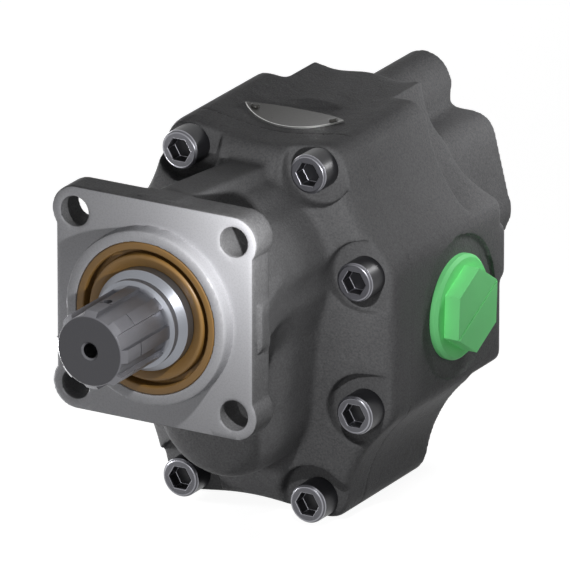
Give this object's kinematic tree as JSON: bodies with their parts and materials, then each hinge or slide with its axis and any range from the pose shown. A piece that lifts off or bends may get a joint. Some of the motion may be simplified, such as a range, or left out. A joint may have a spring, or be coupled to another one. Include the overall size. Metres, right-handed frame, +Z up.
{
  "type": "tandem hydraulic gear pump",
  "caption": "External gear pump with a square pilot flange, long ribbed neck, splined drive shaft, capped side ports and a rear pad with shaft spline for a second pump.",
  "frame": {"origin": "centre of the mounting flange's front face, on the drive shaft axis", "axes": "+Y along the drive shaft from the front spline to the rear pad, +Z up from the driven shaft to the drive shaft, +X right seen from the front"},
  "size_m": [0.1576, 0.309, 0.176],
  "materials": {
    "casting": "cast iron with satin dark grey paint, machined faces bare",
    "ground_steel": "turned and ground steel",
    "dark_steel": "dark oiled steel",
    "bearing_bronze": "turned bearing bronze",
    "black_rubber": "moulded rubber",
    "brown_rubber": "moulded fluoro rubber",
    "plate_metal": "rolled sheet",
    "green_plastic": "moulded polyethylene"
  },
  "bodies": {
    "housing": {"front_cover": "casting", "pump_body": "casting", "front_thrust_plate": "bearing_bronze", "rear_thrust_plate": "bearing_bronze", "front_balance_seal": "black_rubber", "rear_balance_seal": "black_rubber", "neck_bush": "bearing_bronze", "drive_front_bush": "bearing_bronze", "drive_rear_bush": "bearing_bronze", "driven_front_bush": "bearing_bronze", "driven_rear_bush": "bearing_bronze", "front_shaft_seal": "brown_rubber", "inner_shaft_seal": "brown_rubber", "seal_spacer_ring": "ground_steel", "rear_shaft_seal": "brown_rubber", "rear_seal_ring": "ground_steel", "cover_seal": "black_rubber", "dowel_pins": "ground_steel", "cover_screws": "dark_steel", "name_plate": "plate_metal", "plate_rivets": "plate_metal", "left_port_plug": "green_plastic", "right_port_plug": "green_plastic"},
    "drive_gear": {"drive_shaft": "ground_steel"},
    "driven_gear": {"driven_shaft": "ground_steel"}
  },
  "joints": [
    {"name": "drive_shaft_turn", "type": "hinge", "parent": "housing", "child": "drive_gear", "pos_m": [0, 0, 0], "axis": [0, 1, 0], "continuous": true},
    {"name": "driven_shaft_turn", "type": "hinge", "parent": "housing", "child": "driven_gear", "pos_m": [0, 0, -0.062], "axis": [0, 1, 0], "continuous": true}
  ],
  "couplings": [
    {"joint": "driven_shaft_turn", "follows": "drive_shaft_turn", "ratio": -1}
  ]
}
